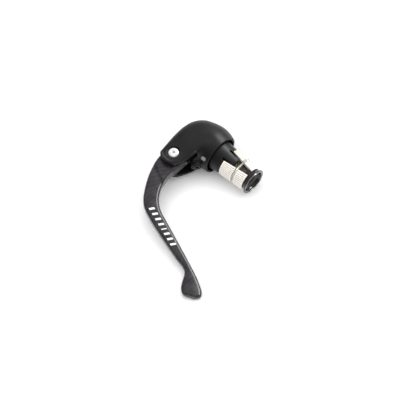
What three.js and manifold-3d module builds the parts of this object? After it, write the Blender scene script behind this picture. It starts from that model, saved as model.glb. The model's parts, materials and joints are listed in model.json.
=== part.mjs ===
// Bar-end brake lever for time-trial handlebars, lying on its side.
// A moulded bracket plugs into the open end of the bar and is held there by an
// expander: a hollow bolt draws a flared cone in, and the cone spreads three
// serrated segments. A carbon blade turns on a pivot in the bracket's fork and
// pulls the brake cable through the hollow bolt.
//
// Millimetres. The assembly is modelled in the bar's frame: X along the bar's
// axis, pointing into the bar, with X = 0 where the bar's end stops; Z along the
// lever's pivot; Y towards the top of the bar. The exported group is then
// shifted so that the origin is the middle of the underside of its box.
import * as THREE from "three";
import { mergeVertices } from "three/addons/utils/BufferGeometryUtils.js";
import Module from "manifold-3d";

const wasm = await Module();
wasm.setup();

// ---------- driving dimensions ----------
const ROUND = 36; // sides of a large round
const SMALL_ROUND = 20; // sides of a small round
const TOUCH_GAP = 0.1; // between pieces that bear on each other
const RUN_GAP = 0.25; // between pieces that turn or slide

const PIVOT = new THREE.Vector2(-15.2, -23);
const HOOK = new THREE.Vector2(-8, -1.5); // cable hook, blade at rest

const BAR_SOCKET_RADIUS = 12.4; // takes a bar of 24 mm outside diameter
const BAR_SOCKET_DEPTH = 5.2;
const PARTITION = 3.2; // wall between the bar socket and the lever's chamber
const SHELL_WALL = 2.2;
const FORK_HALF_GAP = 5.9; // half the space between the fork's legs

const NECK = { start: 5, radius: 10.6, slope: 0.15, core: 12.8, end: 19.8 };
const NECK_WEDGE = { top: 7.5, tip: 5.8, length: 4 };
const RIB = { count: 3, width: 6, first: THREE.MathUtils.degToRad(93) };

const SEGMENT = {
  start: 13.1,
  end: 31.6,
  outer: 10.4,
  outerEnd: 8.75,
  inner: 6.1,
  flareStart: 27.2, // where the inner face begins to open for the cone
  gap: 9.6, // between two segments at the neck's end
  gapEnd: 4, // and at the cone's end
};
const RING_GROOVE = { x: 23.3, width: 1.9, floor: 7.6 };
const RING = { radius: 8.35, wire: 0.65 };

const BOLT = { radius: 4.2, bore: 2.95, cableHole: 1.4, head: 6, headStart: 0.4, headEnd: 3.8, end: 28.5 };
const SOCKET_DEPTH = 5; // of the hexagon in the bolt's head
const HEX_KEY = 6; // across flats
const CASING_SHOULDER = 8; // where the cable casing's end bears
const WASHER = 0.9;

const NUT = { start: 20.6, barrel: 5.45, bore: 4.45, collarEnd: 28.3, spigot: 5.2, end: 31.6 };
const CONE = { end: 35, rim: 9.3, mouth: 7.7, slope: 0.45, flareStart: 26.4 };

const BLADE_HALF = 4.5;
const BLADE_EDGE = 1.9; // rounding of the blade's long edges
const BLADE_TAPER = 0.0054; // share of its thickness that the blade loses per mm below the seam
const SEAM = -31; // where the carbon blade meets the root
const TONGUE = 9.5; // length of the root's tongue inside the blade
const TONGUE_HALF = 2.2; // half its thickness
const EAR_GAP_HALF = 2.6; // half the slot between the root's ears
const AXLE = { radius: 2.5, head: 3.6 };
const BUSH = { outer: 3.4, flange: 4.6, flangeThickness: 0.8 };
const PIVOT_SCREW = { shank: 1.4, head: 3.5, key: 2 };
const FORK_FACE = 8.9; // outer face of each fork leg at the pivot
const HEAD_RECESS = { radius: 4.1, depth: 1.3 };

const HOOK_RADIUS = 2.5;
const HOOK_EYE = 3.75; // outer radius of the arm's end round the hook
const SPRING = {
  radius: 3.95,
  wire: 0.5,
  pitch: 1.13,
  start: THREE.MathUtils.degToRad(195),
  turns: 3 + 165 / 360,
  firstLeg: 11.6,
  secondLeg: 4.6,
};
const PRELOAD = { tip: -10.6, end: -6.2, y: -19.7, z: 1.15, radius: 1.35, key: 1.5 };

const REACH = {
  tip: new THREE.Vector2(-5.4, -12.8),
  head: new THREE.Vector2(-0.7, -16.5),
  shank: 1.75,
  headRadius: 2.65,
  headLength: 1.2,
  boss: 3.9, // radius of the boss round the screw
  bar: 4.4, // height of the bar that joins the boss to the fork's legs
  barHalf: 7,
  insert: 2.6, // outer radius of the threaded insert
  bossStart: 0.36, // shares of the way from the tip to the head
  insertStart: 0.42,
  insertEnd: 0.92,
  bossEnd: 1.12,
};

// ---------- materials ----------
const finish = (color, roughness, metalness) =>
  new THREE.MeshStandardMaterial({ color, roughness, metalness });
const materials = {
  bracketPlastic: finish(0x252426, 0.55, 0),
  carbon: finish(0x2c2a2e, 0.2, 0.1),
  aluminium: finish(0xe4e2dc, 0.35, 1),
  darkMetal: finish(0x2b2628, 0.25, 0.8),
  bronzedSteel: finish(0x6e655c, 0.4, 0.9),
  blackAlloy: finish(0x29282a, 0.35, 0.6),
  zincSteel: finish(0xb5ac6a, 0.35, 1),
  steel: finish(0xc8c8c6, 0.25, 1),
  bushPlastic: finish(0x8d8a80, 0.5, 0),
  brass: finish(0xb8965a, 0.35, 1),
  blackSteel: finish(0x35302f, 0.3, 0.9),
};

// ---------- solids ----------
// A closed geometry as a solid, turned inside out where its faces point in.
function solid(geometry) {
  const flat = geometry.index ? geometry.toNonIndexed() : geometry;
  const bare = new THREE.BufferGeometry().setAttribute("position", flat.getAttribute("position"));
  const merged = mergeVertices(bare, 1e-4);
  const faces = [];
  const index = merged.index.array;
  for (let i = 0; i < index.length; i += 3) {
    const [a, b, c] = [index[i], index[i + 1], index[i + 2]];
    if (a !== b && b !== c && c !== a) faces.push(a, b, c);
  }
  const make = (triVerts) =>
    new wasm.Manifold(
      new wasm.Mesh({ numProp: 3, vertProperties: merged.attributes.position.array, triVerts }),
    );
  const made = make(new Uint32Array(faces));
  return made.volume() > 0 ? made : make(new Uint32Array(faces.reverse()));
}

function geometryOf(made) {
  const mesh = made.getMesh();
  const geometry = new THREE.BufferGeometry();
  geometry.setAttribute("position", new THREE.BufferAttribute(mesh.vertProperties, 3));
  geometry.setIndex(new THREE.BufferAttribute(mesh.triVerts, 1));
  return geometry;
}

const join = (first, ...rest) => rest.reduce((sum, piece) => sum.add(piece), first);
const cut = (body, ...tools) => tools.reduce((left, tool) => left.subtract(tool), body);

// A closed [along, radius] profile turned about the X axis.
function turnedX(profile, sides = ROUND) {
  const points = profile.map(([x, r]) => new THREE.Vector2(r, x));
  return solid(new THREE.LatheGeometry(points, sides).rotateZ(-Math.PI / 2));
}

// The same about the Z axis through a point of the lever's plane.
function turnedZ(profile, centre, sides = SMALL_ROUND) {
  const points = profile.map(([z, r]) => new THREE.Vector2(r, z));
  const geometry = new THREE.LatheGeometry(points, sides).rotateX(Math.PI / 2);
  return solid(geometry.translate(centre.x, centre.y, 0));
}

const rodX = (x0, x1, r, sides) => turnedX([[x0, 0], [x0, r], [x1, r], [x1, 0]], sides);
const rodZ = (z0, z1, r, centre, sides) =>
  turnedZ([[z0, 0], [z0, r], [z1, r], [z1, 0]], centre, sides);

// A rod between two points of the lever's plane.
function rodBetween(from, to, r, sides = SMALL_ROUND) {
  const along = to.clone().sub(from);
  const geometry = new THREE.CylinderGeometry(r, r, along.length(), sides)
    .translate(0, along.length() / 2, 0)
    .rotateZ(Math.atan2(along.y, along.x) - Math.PI / 2)
    .translate(from.x, from.y, 0);
  return solid(geometry);
}

// An outline of the lever's plane, between two heights.
function plate(shape, z0, z1, divisions = 6) {
  const options = { depth: z1 - z0, bevelEnabled: false, curveSegments: divisions };
  return solid(new THREE.ExtrudeGeometry(shape, options).translate(0, 0, z0));
}

function box(x0, x1, y0, y1, z0, z1) {
  const geometry = new THREE.BoxGeometry(x1 - x0, y1 - y0, z1 - z0);
  return solid(geometry.translate((x0 + x1) / 2, (y0 + y1) / 2, (z0 + z1) / 2));
}

const polygon = (points) => new THREE.Shape(points.map(([x, y]) => new THREE.Vector2(x, y)));

// A hexagonal prism along X, or along Z at a point, for a key's socket.
function hexX(x0, x1, flats) {
  return rodX(x0, x1, flats / Math.sqrt(3), 6);
}
function hexZ(z0, z1, flats, centre) {
  return rodZ(z0, z1, flats / Math.sqrt(3), centre, 6);
}

// ---------- bracket ----------
// Cross-sections of the moulded shell, from the bar socket's rim to the fork's
// nose: a point on the back, a point on the belly, the half width, and the
// powers of the rounded outline on the back and belly sides (2 is an ellipse).
const SHELL_SECTIONS = [
  { back: [BAR_SOCKET_DEPTH, 13.8], belly: [BAR_SOCKET_DEPTH, -13.8], half: 13.8, powers: [2, 2] },
  { back: [0.8, 15.4], belly: [1.6, -13.9], half: 13.9, powers: [1.95, 2.15] },
  { back: [-5, 16.2], belly: [-0.8, -14], half: 13.8, powers: [1.9, 2.6] },
  { back: [-12.2, 15], belly: [-1.7, -14.8], half: 13.3, powers: [1.9, 3.3] },
  { back: [-19.6, 11.7], belly: [-2.5, -16.6], half: 12.6, powers: [2, 4] },
  { back: [-24.6, 5.4], belly: [-3.3, -18.8], half: 11.7, powers: [2.15, 4.6] },
  { back: [-26.2, -3], belly: [-4.3, -21.4], half: 10.8, powers: [2.5, 5] },
  { back: [-26, -12], belly: [-5.8, -24.4], half: 10, powers: [2.7, 5.5] },
  { back: [-24.8, -20], belly: [-8, -27.7], half: 9.4, powers: [3.2, 7] },
  { back: [-23.2, -26.4], belly: [-11.2, -30.3], half: 9.1, powers: [4, 8] },
  { back: [-18.6, -30.8], belly: [-15.4, -31.2], half: 9, powers: [5, 8] },
];

// A closed body through sections whose points share one order, capped at both ends.
function loft(sections) {
  const around = sections[0].length;
  const positions = sections.flat().flatMap((p) => [p.x, p.y, p.z]);
  const index = [];
  for (let i = 0; i + 1 < sections.length; i++)
    for (let j = 0; j < around; j++) {
      const [a, b] = [i * around + j, i * around + ((j + 1) % around)];
      index.push(a, b, a + around, b, b + around, a + around);
    }
  for (const [row, turned] of [[0, true], [sections.length - 1, false]]) {
    const centre = sections[row].reduce((sum, p) => sum.add(p), new THREE.Vector3());
    positions.push(...centre.divideScalar(around));
    const tip = positions.length / 3 - 1;
    for (let j = 0; j < around; j++) {
      const [a, b] = [row * around + j, row * around + ((j + 1) % around)];
      index.push(...(turned ? [b, a, tip] : [a, b, tip]));
    }
  }
  const geometry = new THREE.BufferGeometry();
  geometry.setAttribute("position", new THREE.Float32BufferAttribute(positions, 3));
  geometry.setIndex(index);
  return solid(geometry);
}

// The shell's outline between two of its sections, shrunk by a wall. The belly
// side can be carried past the shell, which leaves the shell open there.
function shellLoft(steps, around, { from = 0, to = 1, wall = 0, bellyReach = 0 } = {}) {
  const line = (pick) => new THREE.CatmullRomCurve3(SHELL_SECTIONS.map(pick), false, "centripetal");
  const backs = line((s) => new THREE.Vector3(...s.back, 0));
  const bellies = line((s) => new THREE.Vector3(...s.belly, 0));
  const shapes = line((s) => new THREE.Vector3(s.half, ...s.powers));
  const signedPower = (v, n) => Math.sign(v) * Math.abs(v) ** (2 / n);
  const sections = [];
  for (let i = 0; i <= steps; i++) {
    const t = from + ((to - from) * i) / steps;
    const [back, belly, shape] = [backs, bellies, shapes].map((curve) => curve.getPoint(t));
    const across = back.clone().sub(belly);
    const length = across.length();
    across.normalize();
    const top = length - wall;
    const bottom = -bellyReach;
    const middle = length / 2;
    const points = [];
    for (let j = 0; j < around; j++) {
      const angle = (2 * Math.PI * j) / around;
      const power = Math.cos(angle) > 0 ? shape.y : shape.z;
      const reach = Math.cos(angle) > 0 ? top - middle : middle - bottom;
      const along = middle + reach * signedPower(Math.cos(angle), power);
      const height = (shape.x - wall) * signedPower(Math.sin(angle), power);
      points.push(belly.clone().addScaledVector(across, along).setZ(height));
    }
    sections.push(points);
  }
  return loft(sections);
}

const neckRadius = (x) => NECK.radius - NECK.slope * (x - NECK.start);

function neck() {
  const core = turnedX([
    [-PARTITION, 0],
    [-PARTITION, NECK.radius],
    [NECK.start, NECK.radius],
    [NECK.core, neckRadius(NECK.core)],
    [NECK.core, NECK_WEDGE.top],
    [NECK.core + NECK_WEDGE.length, NECK_WEDGE.tip],
    [NECK.core + NECK_WEDGE.length, 0],
  ]);
  const sleeve = turnedX([
    [NECK.core - 1, 0],
    [NECK.core - 1, neckRadius(NECK.core - 1)],
    [NECK.end, neckRadius(NECK.end)],
    [NECK.end, 0],
  ]);
  const bars = [];
  for (let i = 0; i < RIB.count; i++) {
    const angle = RIB.first + (i * 2 * Math.PI) / RIB.count;
    const bar = new THREE.BoxGeometry(NECK.end, NECK.radius, RIB.width)
      .translate(NECK.end / 2 + 1, NECK.radius / 2 + 4.8, 0)
      .rotateX(angle);
    bars.push(solid(bar));
  }
  return join(core, join(...bars).intersect(sleeve));
}

function bracketBody() {
  const shell = shellLoft(26, 32);
  const socket = rodX(0, BAR_SOCKET_DEPTH + 2, BAR_SOCKET_RADIUS);
  const chamber = shellLoft(16, 24, { from: 0.34, to: 0.8, wall: SHELL_WALL, bellyReach: 5 });
  // the space that the blade's root swings in, and the open front below the chamber
  const swing = polygon([
    [-PARTITION - 0.01, -10.5],
    [-PARTITION - 0.01, 4.5],
    [-10, 6.5],
    [-18, 4.5],
    [-21, -6],
    [-21, -13.5],
    [-32, -14.5],
    [-32, -40],
    [-4, -40],
    [-5.2, -16.6],
  ]);
  const fork = plate(swing, -FORK_HALF_GAP, FORK_HALF_GAP);
  const hollowed = cut(shell, socket, chamber, fork);
  const [bossTail, bossHead] = [REACH.bossStart, REACH.bossEnd].map(reachPoint);
  const across = bossHead.clone().sub(bossTail);
  const bar = new THREE.BoxGeometry(across.length(), REACH.bar, 2 * REACH.barHalf)
    .rotateZ(Math.atan2(across.y, across.x))
    .translate((bossTail.x + bossHead.x) / 2, (bossTail.y + bossHead.y) / 2, 0);
  const boss = join(solid(bar), rodBetween(bossTail, bossHead, REACH.boss, ROUND));
  const withBoss = join(hollowed, boss, neck());
  const bolt = join(
    rodX(-PARTITION - 1, BOLT.headEnd + TOUCH_GAP * 2 + WASHER, BOLT.head + 0.6),
    rodX(0, NECK.end + 1, BOLT.radius + RUN_GAP),
  );
  const beyondWedge = rodX(NECK.core + NECK_WEDGE.length, NECK.end + 1, NECK_WEDGE.tip);
  const screwHole = join(
    rodBetween(reachPoint(-0.6), reachPoint(1.6), REACH.shank + RUN_GAP),
    rodBetween(reachPoint(REACH.insertStart - 0.02), reachPoint(1.6), REACH.insert + TOUCH_GAP),
    rodBetween(reachPoint(REACH.insertEnd), reachPoint(1.6), REACH.headRadius + RUN_GAP),
  );
  const pivotHole = rodZ(-20, 20, AXLE.radius + RUN_GAP, PIVOT);
  const recess = (side) =>
    rodZ(...[FORK_FACE - HEAD_RECESS.depth, 20].map((z) => z * side).sort((a, b) => a - b),
      HEAD_RECESS.radius, PIVOT, ROUND);
  return cut(withBoss, bolt, beyondWedge, screwHole, pivotHole, recess(1), recess(-1));
}

// ---------- expander ----------
function expanderBolt() {
  const body = turnedX([
    [BOLT.headStart, 0],
    [BOLT.headStart, BOLT.head - 0.4],
    [BOLT.headStart + 0.4, BOLT.head],
    [BOLT.headEnd, BOLT.head],
    [BOLT.headEnd, BOLT.radius],
    [BOLT.end - 0.5, BOLT.radius],
    [BOLT.end, BOLT.radius - 0.4],
    [BOLT.end, 0],
  ]);
  return cut(
    body,
    hexX(BOLT.headStart - 1, BOLT.headStart + SOCKET_DEPTH, HEX_KEY),
    rodX(0, BOLT.end, BOLT.cableHole, SMALL_ROUND),
    rodX(CASING_SHOULDER, BOLT.end + 1, BOLT.bore),
  );
}

function expanderWasher() {
  const start = BOLT.headEnd + TOUCH_GAP;
  return turnedX([
    [start, BOLT.radius + RUN_GAP],
    [start, BOLT.head + 0.3],
    [start + WASHER, BOLT.head + 0.3],
    [start + WASHER, BOLT.radius + RUN_GAP],
    [start, BOLT.radius + RUN_GAP],
  ]);
}

// The cone's working surface runs on over the nut's collar.
const coneRadius = (x) => NUT.barrel + CONE.slope * (x - CONE.flareStart);

function expanderNut() {
  return turnedX([
    [NUT.start, NUT.bore],
    [NUT.start, NUT.barrel - 0.3],
    [NUT.start + 0.3, NUT.barrel],
    [CONE.flareStart, NUT.barrel],
    [NUT.collarEnd, coneRadius(NUT.collarEnd)],
    [NUT.collarEnd, NUT.spigot],
    [NUT.end, NUT.spigot],
    [NUT.end, NUT.bore],
    [NUT.start, NUT.bore],
  ]);
}

function expanderCone() {
  const start = NUT.collarEnd + TOUCH_GAP;
  const seat = NUT.end + TOUCH_GAP;
  return turnedX([
    [start, NUT.spigot + TOUCH_GAP],
    [start, coneRadius(start)],
    [31, coneRadius(31)],
    [32.6, 7.75],
    [33.6, 8.3],
    [34.1, CONE.rim - 0.15],
    [34.4, CONE.rim],
    [34.7, CONE.rim],
    [CONE.end, CONE.rim - 0.4],
    [CONE.end, CONE.mouth + 0.4],
    [34.5, CONE.mouth - 0.3],
    [33.2, 6.3],
    [seat + 0.6, 4.9],
    [seat, 4.6],
    [seat, NUT.spigot + TOUCH_GAP],
    [start, NUT.spigot + TOUCH_GAP],
  ]);
}

// The three segments lie on the neck's wedge at one end and on the cone at the
// other. Loose, they lean in towards the cone.
function segmentBlank() {
  const outer = (x) =>
    THREE.MathUtils.mapLinear(x, SEGMENT.start, SEGMENT.end, SEGMENT.outer, SEGMENT.outerEnd);
  const groove = [RING_GROOVE.x - RING_GROOVE.width / 2, RING_GROOVE.x + RING_GROOVE.width / 2];
  return turnedX([
    [SEGMENT.start, NECK_WEDGE.top + 0.45],
    [SEGMENT.start, SEGMENT.outer - 0.4],
    [SEGMENT.start + 0.4, outer(SEGMENT.start + 0.4)],
    [groove[0], outer(groove[0])],
    [groove[0], RING_GROOVE.floor],
    [groove[1], RING_GROOVE.floor],
    [groove[1], outer(groove[1])],
    [SEGMENT.end - 0.4, outer(SEGMENT.end - 0.4)],
    [SEGMENT.end, SEGMENT.outerEnd - 0.4],
    [SEGMENT.end, SEGMENT.inner + CONE.slope * (SEGMENT.end - SEGMENT.flareStart)],
    [SEGMENT.flareStart, SEGMENT.inner],
    [NECK.core + NECK_WEDGE.length, SEGMENT.inner],
    [SEGMENT.start, NECK_WEDGE.top + 0.45],
  ]);
}

// The sector between two gaps, at a place along the bar's axis.
function sectorAt(x, first, last) {
  const reach = 14;
  const gap = THREE.MathUtils.mapLinear(x, SEGMENT.start, SEGMENT.end, SEGMENT.gap, SEGMENT.gapEnd);
  const inset = gap / 2;
  const at = (angle, r, shift) =>
    new THREE.Vector3(
      x,
      r * Math.cos(angle) - shift * Math.sin(angle),
      r * Math.sin(angle) + shift * Math.cos(angle),
    );
  const middle = (first + last) / 2;
  return [
    at(middle, inset / Math.sin(Math.PI / RIB.count), 0),
    at(first, reach, inset),
    at(middle - 0.5, reach * 1.3, 0),
    at(middle + 0.5, reach * 1.3, 0),
    at(last, reach, -inset),
  ];
}

function expanderSegment(number) {
  const first = RIB.first + (number * 2 * Math.PI) / RIB.count;
  const last = first + (2 * Math.PI) / RIB.count;
  const ends = [SEGMENT.start - 2, SEGMENT.end + 2];
  return segmentBlank().intersect(loft(ends.map((x) => sectorAt(x, first, last))));
}

function springRing() {
  const profile = [];
  for (let i = 0; i <= 8; i++) {
    const angle = (i * Math.PI) / 4;
    profile.push([
      RING_GROOVE.x + RING.wire * Math.cos(angle),
      RING.radius + RING.wire * Math.sin(angle),
    ]);
  }
  return turnedX(profile);
}

// ---------- lever ----------
// The blade's outline in its own plane: the outer edge from the pivot to the
// tip, round the paddle, and back along the inner edge; then up the arm to the
// cable hook and down its front.
function bladeOutline() {
  const edge = [
    [-22.9, -25], [-22.4, -30], [-20.9, -37], [-18, -44.2], [-13.6, -52], [-8.6, -59], [-3.4, -63.4],
    [4, -66.7], [17.3, -71], [36.7, -76.4], [44.6, -78.2], [48.4, -80.6], [50.8, -84.6],
    [52.9, -88.2], [55.4, -91.1], [58.8, -92.5], [62.7, -91], [66.8, -88.3], [67.9, -86.2],
    [66.4, -83.4], [62.6, -80.8], [56, -77.4], [45.8, -73.2], [26.9, -65.8], [9.4, -59.2],
    [2.8, -55.6], [-1.7, -51.2], [-5.2, -46], [-7.3, -40.4], [-8, -34.6], [-7.5, -28],
    [-7.3, -22.4], [-7.1, -16.5], [-5.4, -9.5], [-4.3, -3],
  ];
  const front = [[-11.6, -2.3], [-14.4, -10.5], [-18.6, -16], [-21.9, -19.4]];
  const plane = (points) => points.map(([x, y]) => new THREE.Vector2(x, y));
  const shape = new THREE.Shape(new THREE.SplineCurve(plane(edge)).getPoints(96));
  shape.absarc(HOOK.x, HOOK.y, HOOK_EYE, -0.2, Math.PI - 0.1, false);
  for (const point of new THREE.SplineCurve(plane(front)).getPoints(9)) shape.lineTo(point.x, point.y);
  return shape;
}

// The whole lever as one blank, to be parted at the seam.
function leverBlank() {
  const options = {
    depth: 2 * (BLADE_HALF - BLADE_EDGE),
    bevelEnabled: true,
    bevelThickness: BLADE_EDGE,
    bevelSize: BLADE_EDGE,
    bevelOffset: -BLADE_EDGE,
    bevelSegments: 2,
    curveSegments: 7,
  };
  const blank = new THREE.ExtrudeGeometry(bladeOutline(), options);
  return solid(blank.translate(0, 0, BLADE_EDGE - BLADE_HALF));
}

// The root's tongue, bonded into the blade.
function tongue(slack) {
  const outline = polygon([
    [-18.8 - slack, SEAM + 1],
    [-17.2 - slack, SEAM - TONGUE - slack],
    [-10.6 + slack, SEAM - TONGUE - slack],
    [-11.2 + slack, SEAM + 1],
  ]);
  return plate(outline, -TONGUE_HALF - slack, TONGUE_HALF + slack);
}

function leverRoot(blank) {
  const springSlot = plate(
    polygon([
      [-20.4, -21.8], [-19.75, -24.2], [-18.4, -28.2], [-12, -28.6], [-10.2, -26],
      [-9.8, -16], [-8.6, -12.5], [-2, -8], [-2, 5], [-16, 5], [-26, -14],
    ]),
    -EAR_GAP_HALF,
    EAR_GAP_HALF,
  );
  const upper = cut(blank, box(-60, 80, -120, SEAM, -20, 20));
  const preloadHole = rodX(-12, 0, PRELOAD.radius + TOUCH_GAP, SMALL_ROUND);
  return cut(
    join(upper, tongue(0)),
    springSlot,
    rodZ(-9, 9, BUSH.outer + TOUCH_GAP, PIVOT),
    rodZ(-9, 9, HOOK_RADIUS + RUN_GAP, HOOK),
    preloadHole.translate([0, PRELOAD.y, PRELOAD.z]),
  );
}

function leverBlade(blank) {
  const lower = cut(blank, box(-60, 80, SEAM - TOUCH_GAP, 40, -20, 20));
  const tapered = lower.warp((point) => {
    point[2] *= 1 - BLADE_TAPER * (SEAM - point[1]);
  });
  return cut(tapered, tongue(0.2));
}

function bush(side) {
  const z = (v) => v * side;
  return turnedZ(
    [
      [z(EAR_GAP_HALF + 0.05), AXLE.radius + RUN_GAP],
      [z(EAR_GAP_HALF + 0.05), BUSH.outer],
      [z(BLADE_HALF + TOUCH_GAP), BUSH.outer],
      [z(BLADE_HALF + TOUCH_GAP), BUSH.flange],
      [z(BLADE_HALF + TOUCH_GAP + BUSH.flangeThickness), BUSH.flange],
      [z(BLADE_HALF + TOUCH_GAP + BUSH.flangeThickness), AXLE.radius + RUN_GAP],
      [z(EAR_GAP_HALF + 0.05), AXLE.radius + RUN_GAP],
    ],
    PIVOT,
  );
}

// The cable's head sits in the hook's cross hole, and the cable leaves by its slot.
function cableHook() {
  const barrel = rodZ(-BLADE_HALF + 0.2, BLADE_HALF - 0.2, HOOK_RADIUS, HOOK);
  const through = rodBetween(
    new THREE.Vector2(HOOK.x - 4, HOOK.y),
    new THREE.Vector2(HOOK.x + 4, HOOK.y),
    0.9,
    12,
  );
  const seat = rodBetween(
    new THREE.Vector2(HOOK.x - 4, HOOK.y),
    new THREE.Vector2(HOOK.x - 0.6, HOOK.y),
    1.6,
    12,
  );
  return cut(barrel, through, seat);
}

// ---------- pivot ----------
function pivotAxle() {
  const floor = -(FORK_FACE - HEAD_RECESS.depth) - TOUCH_GAP;
  const top = FORK_FACE - HEAD_RECESS.depth - 0.2;
  return turnedZ(
    [
      [floor - 1.5, 0],
      [floor - 1.5, AXLE.head - 0.3],
      [floor - 1.2, AXLE.head],
      [floor, AXLE.head],
      [floor, AXLE.radius],
      [top, AXLE.radius],
      [top, PIVOT_SCREW.shank + RUN_GAP],
      [-2.4, PIVOT_SCREW.shank + RUN_GAP],
      [-2.9, 0],
    ],
    PIVOT,
  );
}

function pivotScrew() {
  const seat = FORK_FACE - HEAD_RECESS.depth + TOUCH_GAP;
  const body = turnedZ(
    [
      [-1.8, 0],
      [-1.8, PIVOT_SCREW.shank],
      [seat, PIVOT_SCREW.shank],
      [seat, PIVOT_SCREW.head],
      [seat + 1, PIVOT_SCREW.head],
      [seat + 1.6, PIVOT_SCREW.head - 0.7],
      [seat + 1.6, 0],
    ],
    PIVOT,
    ROUND,
  );
  return cut(body, hexZ(seat + 0.3, seat + 3, PIVOT_SCREW.key, PIVOT));
}

// A torsion spring round the axle, between the root's ears: one leg bears on
// the bracket's front wall, the other on the tip of the preload screw.
class SpringPath extends THREE.Curve {
  getPoint(t, target = new THREE.Vector3()) {
    const { firstLeg, secondLeg, radius, turns, pitch } = SPRING;
    const wound = 2 * Math.PI * turns * radius;
    const along = t * (firstLeg + wound + secondLeg) - firstLeg;
    const turn = THREE.MathUtils.clamp(along / wound, 0, 1);
    const angle = SPRING.start + turn * turns * 2 * Math.PI;
    const past = along - turn * wound;
    return target.set(
      PIVOT.x + radius * Math.cos(angle) - past * Math.sin(angle),
      PIVOT.y + radius * Math.sin(angle) + past * Math.cos(angle),
      (turn - 0.5) * turns * pitch,
    );
  }
}

function returnSpring() {
  const section = new THREE.Shape();
  section.absarc(0, 0, SPRING.wire, 0, 2 * Math.PI);
  const options = { steps: 96, curveSegments: 3, extrudePath: new SpringPath() };
  return solid(new THREE.ExtrudeGeometry(section, options));
}

// A set screw in the front of the root, whose tip bears on the spring's leg.
function preloadScrew() {
  const { tip, end, y, z, radius, key } = PRELOAD;
  const body = rodX(tip, end, radius, SMALL_ROUND).translate([0, y, z]);
  return cut(body, hexX(end - 1.2, end + 1, key).translate([0, y, z]));
}

// ---------- reach screw ----------
const reachPoint = (share) => REACH.tip.clone().lerp(REACH.head, share);

// A threaded insert moulded into the bracket's cross boss.
function reachInsert() {
  const sleeve = rodBetween(reachPoint(REACH.insertStart), reachPoint(REACH.insertEnd), REACH.insert);
  return cut(sleeve, rodBetween(reachPoint(-1), reachPoint(2), REACH.shank + 0.1));
}

function reachScrew() {
  const inward = REACH.tip.clone().sub(REACH.head).normalize();
  const headOuter = REACH.head.clone().addScaledVector(inward, -REACH.headLength);
  const along = Math.atan2(-inward.y, -inward.x);
  const socket = new THREE.CylinderGeometry(2.5 / Math.sqrt(3), 2.5 / Math.sqrt(3), 3, 6)
    .rotateZ(along - Math.PI / 2)
    .translate(headOuter.x, headOuter.y, 0);
  const body = join(
    rodBetween(REACH.head, headOuter, REACH.headRadius, SMALL_ROUND),
    rodBetween(REACH.tip, REACH.head.clone().addScaledVector(inward, -0.5), REACH.shank),
  );
  return cut(body, solid(socket));
}

// ---------- assembly ----------
const assembly = new THREE.Group();
const blank = leverBlank();
const pieces = [
  ["bracket_body", bracketBody(), materials.bracketPlastic],
  ["expander_bolt", expanderBolt(), materials.zincSteel],
  ["expander_washer", expanderWasher(), materials.steel],
  ["expander_nut", expanderNut(), materials.bronzedSteel],
  ["expander_cone", expanderCone(), materials.darkMetal],
  ["expander_segment_1", expanderSegment(0), materials.aluminium],
  ["expander_segment_2", expanderSegment(1), materials.aluminium],
  ["expander_segment_3", expanderSegment(2), materials.aluminium],
  ["segment_spring_ring", springRing(), materials.steel],
  ["lever_root", leverRoot(blank), materials.blackAlloy],
  ["lever_blade", leverBlade(blank), materials.carbon],
  ["pivot_bush_near", bush(1), materials.bushPlastic],
  ["pivot_bush_far", bush(-1), materials.bushPlastic],
  ["cable_hook", cableHook(), materials.brass],
  ["pivot_axle", pivotAxle(), materials.aluminium],
  ["pivot_screw", pivotScrew(), materials.aluminium],
  ["return_spring", returnSpring(), materials.steel],
  ["preload_screw", preloadScrew(), materials.steel],
  ["reach_insert", reachInsert(), materials.brass],
  ["reach_screw", reachScrew(), materials.blackSteel],
];
for (const [name, made, material] of pieces) {
  const mesh = new THREE.Mesh(geometryOf(made), material);
  mesh.name = name;
  assembly.add(mesh);
}

const bounds = new THREE.Box3().setFromObject(assembly);
const middle = bounds.getCenter(new THREE.Vector3());
assembly.position.set(-middle.x, -middle.y, -bounds.min.z);

const part = new THREE.Group();
part.add(assembly);
export default part;
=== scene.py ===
import json
import math

import bmesh
import bpy
import numpy as np
from mathutils import Matrix, Vector
from mathutils.bvhtree import BVHTree


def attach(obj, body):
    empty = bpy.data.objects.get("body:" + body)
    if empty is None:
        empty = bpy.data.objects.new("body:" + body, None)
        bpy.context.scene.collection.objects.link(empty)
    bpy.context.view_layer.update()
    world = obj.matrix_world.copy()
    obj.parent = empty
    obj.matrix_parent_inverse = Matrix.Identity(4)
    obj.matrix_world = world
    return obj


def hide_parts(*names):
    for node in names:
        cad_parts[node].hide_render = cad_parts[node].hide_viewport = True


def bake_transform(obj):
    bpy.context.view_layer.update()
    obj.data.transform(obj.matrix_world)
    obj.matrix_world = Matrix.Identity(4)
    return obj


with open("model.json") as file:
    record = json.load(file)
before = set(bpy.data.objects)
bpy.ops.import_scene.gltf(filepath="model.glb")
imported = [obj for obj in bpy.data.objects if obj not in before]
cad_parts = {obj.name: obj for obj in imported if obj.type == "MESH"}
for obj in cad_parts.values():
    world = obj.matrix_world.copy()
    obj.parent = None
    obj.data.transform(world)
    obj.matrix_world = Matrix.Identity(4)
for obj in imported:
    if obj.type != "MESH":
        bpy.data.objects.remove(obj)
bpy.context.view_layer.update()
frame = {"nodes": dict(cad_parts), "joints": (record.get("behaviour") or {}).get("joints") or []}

# ---------- driving dimensions, in millimetres ----------
PIVOT = (-15.2, -23.0)
HOOK = (-8.0, -1.5)
REACH_TIP = Vector((-5.4, -12.8, 0))
REACH_HEAD = Vector((-0.7, -16.5, 0))
SOCKET_RADIUS = 12.4  # of the skirt's mouth, which takes the bar
SOCKET_DEPTH = 5.2
PARTITION = 3.2
SHELL_WALL = 2.2
FORK_HALF_GAP = 5.9
FORK_FACE = 8.9
RIBS = 3
RIB_FIRST = 93.0  # degrees round the bar's axis, from +Y towards +Z
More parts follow.
